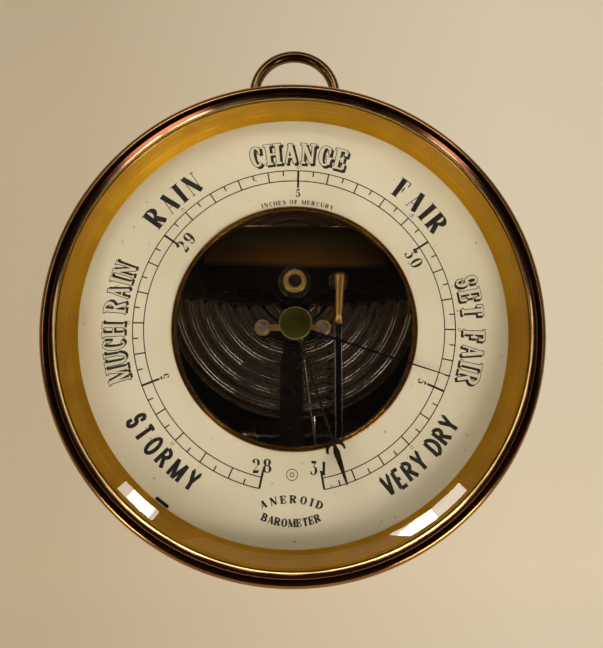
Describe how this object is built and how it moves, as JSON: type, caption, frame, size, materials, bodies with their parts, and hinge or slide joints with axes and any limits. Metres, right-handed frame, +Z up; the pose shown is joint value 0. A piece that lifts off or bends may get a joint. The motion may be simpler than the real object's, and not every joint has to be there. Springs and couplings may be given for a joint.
{
  "type": "aneroid barometer",
  "caption": "Open-dial aneroid barometer in a round brass case with a hanging ring: capsule, spring, lever, rocker and chain turn a hand over a dial in inches.",
  "frame": {"origin": "middle of the drum's flat back face, the face that lies against the wall", "axes": "+Y into the wall along the drum's axis, -Y towards the reader, +Z up to the hanging ring, +X to the reader's right"},
  "size_m": [0.138, 0.0502, 0.1664],
  "materials": {
    "case_brass": "brown patina over brass, satin",
    "bezel_brass": "dark brown patina, worn to gold along the beads",
    "ring_brass": "dark brown patina, satin",
    "gilt_brass": "gilt, satin turned finish",
    "rim_brass": "darkened brass, worn bright on the beads",
    "printed_dial": "cream-white satin enamel paint",
    "bevelled_glass": "clear, polished",
    "black_lacquer": "black lacquer, slightly brown, satin",
    "spring_steel": "bronze-brown tempered spring steel",
    "capsule_metal": "nickel silver, dulled",
    "bright_brass": "polished and lacquered",
    "dull_brass": "plain turned brass, tarnished",
    "bright_steel": "polished steel",
    "grey_steel": "plain steel, darkened",
    "blued_steel": "blued steel",
    "hand_brass": "darkened brass",
    "knob_brass": "dark bronzed brass, bright rim"
  },
  "bodies": {
    "case": {"drum_case": "case_brass", "suspension_lug": "ring_brass", "lug_nut": "dull_brass", "bezel": "bezel_brass", "glass": "bevelled_glass", "reflector_ring": "gilt_brass", "dial": "printed_dial", "dial_opening_rim": "rim_brass", "dial_screws": "printed_dial", "dial_pillars": "dull_brass", "dial_key": "black_lacquer", "movement_plate": "black_lacquer", "plate_screws": "dull_brass", "adjusting_bush": "dull_brass", "capsule_base_stud": "dull_brass", "capsule_lower": "capsule_metal", "capsule_upper": "capsule_metal", "capsule_seam": "capsule_metal", "bridge_casting": "black_lacquer", "bridge_screws": "grey_steel", "main_spring": "spring_steel", "spring_clamp_plate": "black_lacquer", "spring_clamp_screws": "grey_steel", "rocker_bracket": "dull_brass", "bracket_screws": "grey_steel", "rocker_pivot_screws": "bright_steel", "chain": "bright_steel", "hairspring": "blued_steel", "hairspring_stud": "grey_steel", "arbor_bridge": "black_lacquer", "bridge_pillar": "dull_brass", "bridge_pillar_screw": "grey_steel", "cock_pillars": "dull_brass", "arbor_cock": "bright_brass", "cock_screws": "bright_brass", "set_hand_bush": "bright_brass"},
    "ring": {"suspension_ring": "ring_brass"},
    "adjuster": {"adjusting_screw": "grey_steel"},
    "set_pointer": {"set_hand": "hand_brass", "set_hand_spindle": "grey_steel", "set_knob": "knob_brass", "set_hand_washer": "grey_steel"},
    "hand": {"hand_arbor": "grey_steel", "chain_drum": "bright_brass", "indicator_hand": "blued_steel", "hairspring_collet": "bright_brass"},
    "rocker": {"rocker_shaft": "grey_steel", "rocker_crank": "dull_brass", "chain_arm": "grey_steel", "chain_hook": "bright_brass"},
    "lever": {"capsule_post": "grey_steel", "capsule_washer": "bright_steel", "capsule_nut": "bright_brass", "lever_boss": "bright_steel", "compensation_bar": "bright_brass", "lever_arm": "grey_steel", "lever_pin": "bright_steel", "link_rod": "grey_steel"}
  },
  "joints": [
    {"name": "hand_turn", "type": "hinge", "parent": "case", "child": "hand", "pos_m": [0, 0, 0], "axis": [0, 1, 0], "range_deg": [-275.62, 61.88], "stiffness_Nm_per_rad": 0.0003, "deforming": ["hairspring", "chain"]},
    {"name": "rocker_turn", "type": "hinge", "parent": "case", "child": "rocker", "pos_m": [0, -0.018, -0.033], "axis": [1, 0, 0], "range_deg": [-29.5, 6.7]},
    {"name": "lever_lift", "type": "hinge", "parent": "case", "child": "lever", "pos_m": [0, -0.0226, 0.031], "axis": [1, 0, 0], "range_deg": [-2.2, 0.6], "deforming": ["main_spring", "capsule_upper"]},
    {"name": "set_hand_turn", "type": "hinge", "parent": "case", "child": "set_pointer", "pos_m": [0, 0, 0], "axis": [0, 1, 0], "continuous": true},
    {"name": "ring_swing", "type": "hinge", "parent": "case", "child": "ring", "pos_m": [0, -0.018, 0.0683], "axis": [1, 0, 0], "range_deg": [-90, 80]},
    {"name": "adjuster_turn", "type": "hinge", "parent": "case", "child": "adjuster", "pos_m": [-0.0455, 0, 0.018], "axis": [0, 1, 0], "range_deg": [-360, 360]}
  ],
  "couplings": [
    {"joint": "rocker_turn", "follows": "hand_turn", "ratio": 0.10667},
    {"joint": "lever_lift", "follows": "hand_turn", "ratio": 0.0076}
  ]
}
